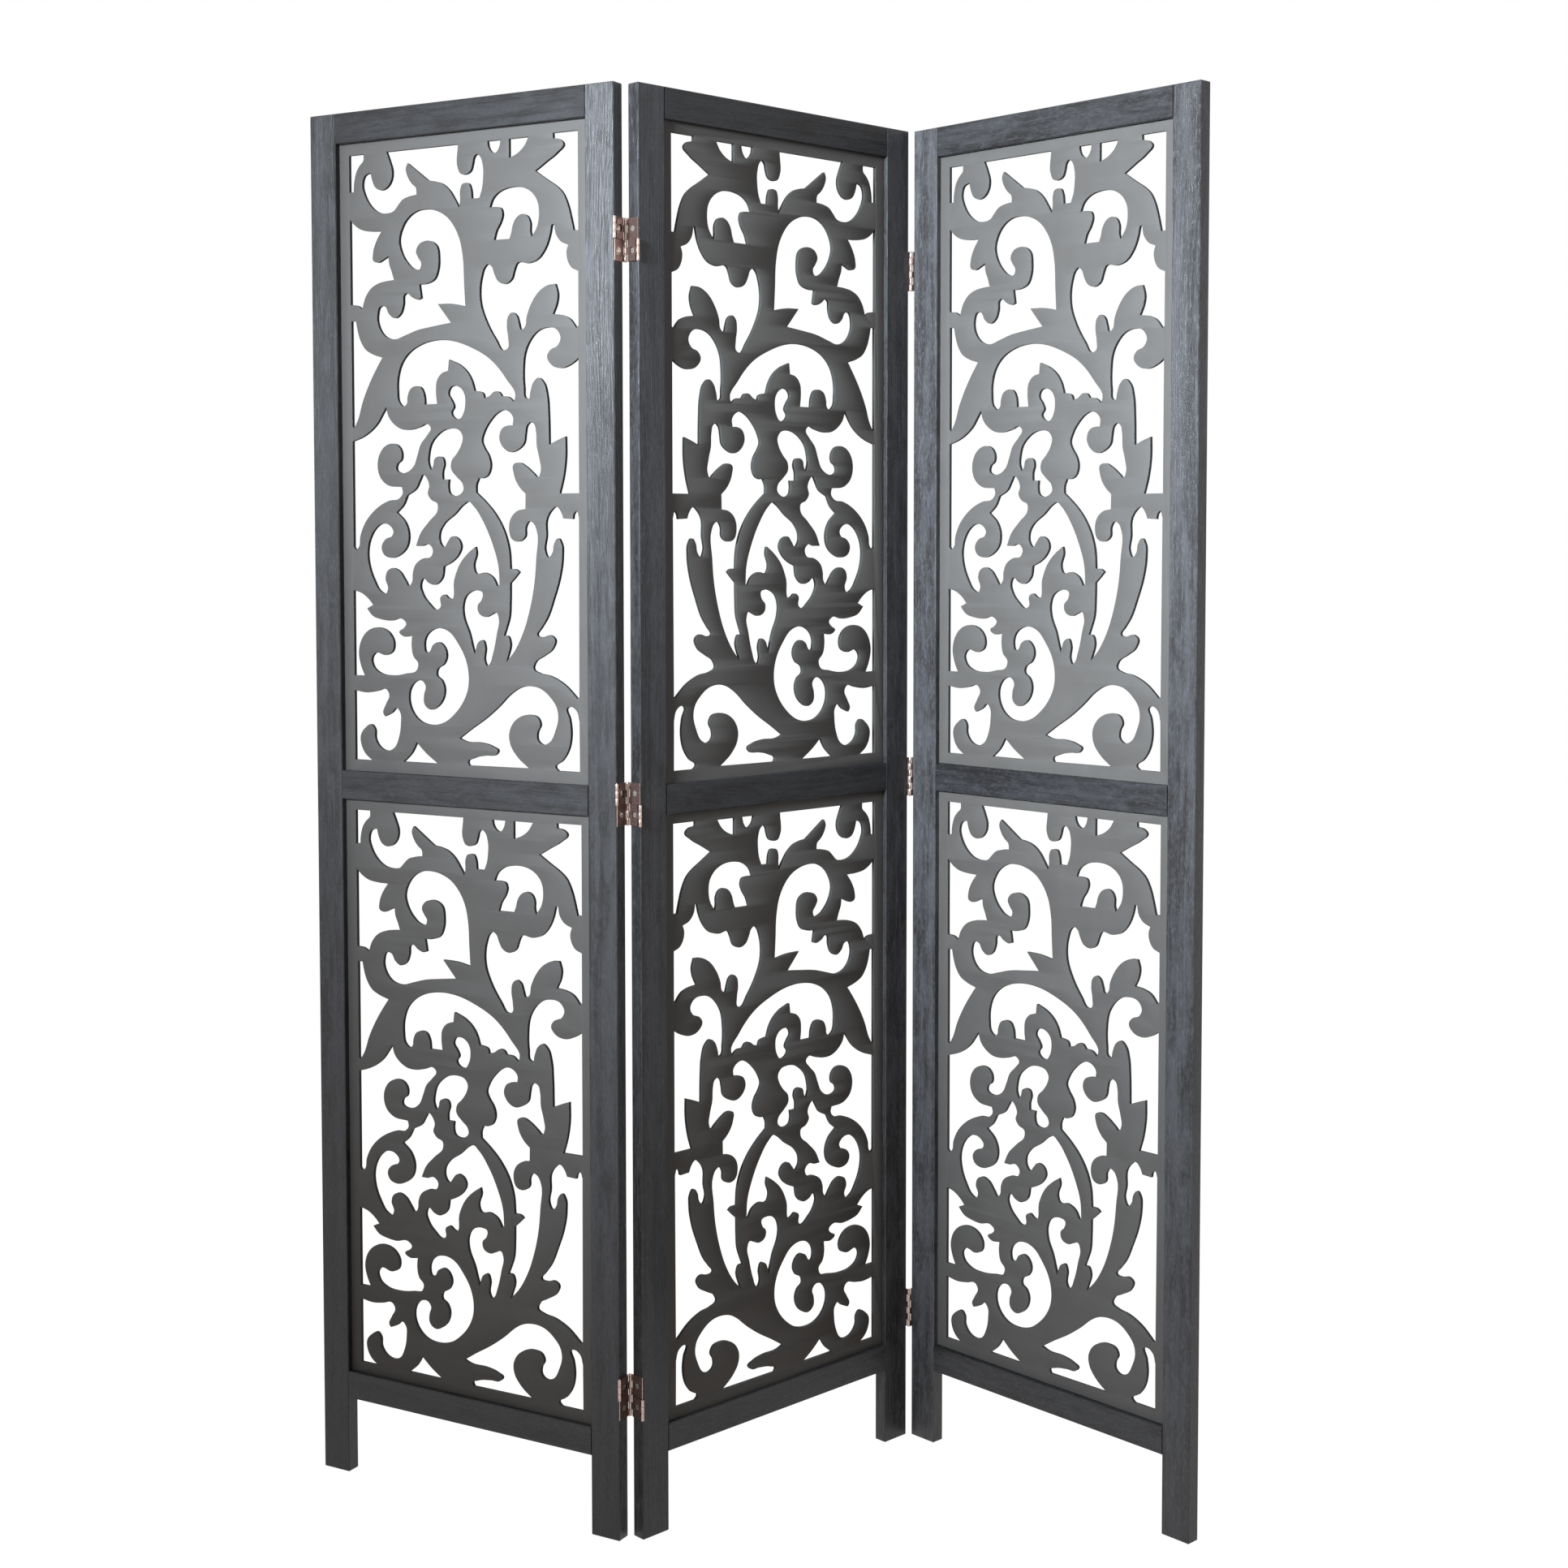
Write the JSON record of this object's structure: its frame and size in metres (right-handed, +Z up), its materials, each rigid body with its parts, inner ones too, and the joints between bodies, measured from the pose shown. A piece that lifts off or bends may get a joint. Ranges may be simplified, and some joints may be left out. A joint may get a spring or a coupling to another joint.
{
  "type": "folding screen",
  "caption": "Folding room screen of dark wood frames with pierced scroll boards, joined by two-way hinges of crossing straps, standing in a zigzag.",
  "frame": {"origin": "centre of the standing screen's bounding box, at floor level", "axes": "+Z up, +X to the right as pictured from the front, +Y away from the viewer"},
  "size_m": [1.0764, 0.3438, 1.7],
  "materials": {
    "blackened_wood": "black stain with satin lacquer, open grain",
    "painted_board": "matt charcoal paint on thin board",
    "coppered_steel": "antique copper plating",
    "coppered_strap": "antique copper plating, rubbed brighter"
  },
  "bodies": {
    "middle_panel": {"middle_panel_left_stile": "blackened_wood", "middle_panel_right_stile": "blackened_wood", "middle_panel_top_rail": "blackened_wood", "middle_panel_middle_rail": "blackened_wood", "middle_panel_bottom_rail": "blackened_wood", "middle_panel_upper_board": "painted_board", "middle_panel_lower_board": "painted_board", "left_low_hinge_right_leaf": "coppered_steel", "left_middle_hinge_right_leaf": "coppered_steel", "left_high_hinge_right_leaf": "coppered_steel", "right_low_hinge_left_leaf": "coppered_steel", "right_middle_hinge_left_leaf": "coppered_steel", "right_high_hinge_left_leaf": "coppered_steel"},
    "left_panel": {"left_panel_outer_stile": "blackened_wood", "left_panel_hinge_stile": "blackened_wood", "left_panel_top_rail": "blackened_wood", "left_panel_middle_rail": "blackened_wood", "left_panel_bottom_rail": "blackened_wood", "left_panel_upper_board": "painted_board", "left_panel_lower_board": "painted_board", "left_low_hinge_left_leaf": "coppered_steel", "left_middle_hinge_left_leaf": "coppered_steel", "left_high_hinge_left_leaf": "coppered_steel"},
    "right_panel": {"right_panel_hinge_stile": "blackened_wood", "right_panel_outer_stile": "blackened_wood", "right_panel_top_rail": "blackened_wood", "right_panel_middle_rail": "blackened_wood", "right_panel_bottom_rail": "blackened_wood", "right_panel_upper_board": "painted_board", "right_panel_lower_board": "painted_board", "right_low_hinge_right_leaf": "coppered_steel", "right_middle_hinge_right_leaf": "coppered_steel", "right_high_hinge_right_leaf": "coppered_steel"},
    "left_upper_straps": {"left_low_hinge_upper_strap": "coppered_strap", "left_middle_hinge_upper_strap": "coppered_strap", "left_high_hinge_upper_strap": "coppered_strap"},
    "left_lower_straps": {"left_low_hinge_lower_strap": "coppered_strap", "left_middle_hinge_lower_strap": "coppered_strap", "left_high_hinge_lower_strap": "coppered_strap"},
    "right_upper_straps": {"right_low_hinge_upper_strap": "coppered_strap", "right_middle_hinge_upper_strap": "coppered_strap", "right_high_hinge_upper_strap": "coppered_strap"},
    "right_lower_straps": {"right_low_hinge_lower_strap": "coppered_strap", "right_middle_hinge_lower_strap": "coppered_strap", "right_high_hinge_lower_strap": "coppered_strap"}
  },
  "joints": [
    {"name": "left_fold", "type": "hinge", "parent": "middle_panel", "child": "left_upper_straps", "pos_m": [-0.13053, -0.15004, 0.871], "axis": [0, 0, -1], "range_deg": [-72.98, 107.02]},
    {"name": "left_reverse", "type": "hinge", "parent": "left_upper_straps", "child": "left_panel", "pos_m": [-0.14122, -0.16995, 0.871], "axis": [0, 0, 1], "range_deg": [0, 90]},
    {"name": "left_lower_strap_turn", "type": "hinge", "parent": "middle_panel", "child": "left_lower_straps", "pos_m": [-0.11462, -0.16609, 0.871], "axis": [0, 0, 1], "range_deg": [0, 90]},
    {"name": "right_fold", "type": "hinge", "parent": "middle_panel", "child": "right_upper_straps", "pos_m": [0.20823, 0.15396, 0.871], "axis": [0, 0, -1], "range_deg": [-90.41, 89.59]},
    {"name": "right_reverse", "type": "hinge", "parent": "right_upper_straps", "child": "right_panel", "pos_m": [0.22439, 0.16976, 0.871], "axis": [0, 0, 1], "range_deg": [0, 90]},
    {"name": "right_lower_strap_turn", "type": "hinge", "parent": "middle_panel", "child": "right_lower_straps", "pos_m": [0.19232, 0.17001, 0.871], "axis": [0, 0, 1], "range_deg": [0, 90]}
  ],
  "couplings": [
    {"joint": "left_lower_strap_turn", "follows": "left_reverse", "ratio": 1},
    {"joint": "right_lower_strap_turn", "follows": "right_reverse", "ratio": 1}
  ]
}
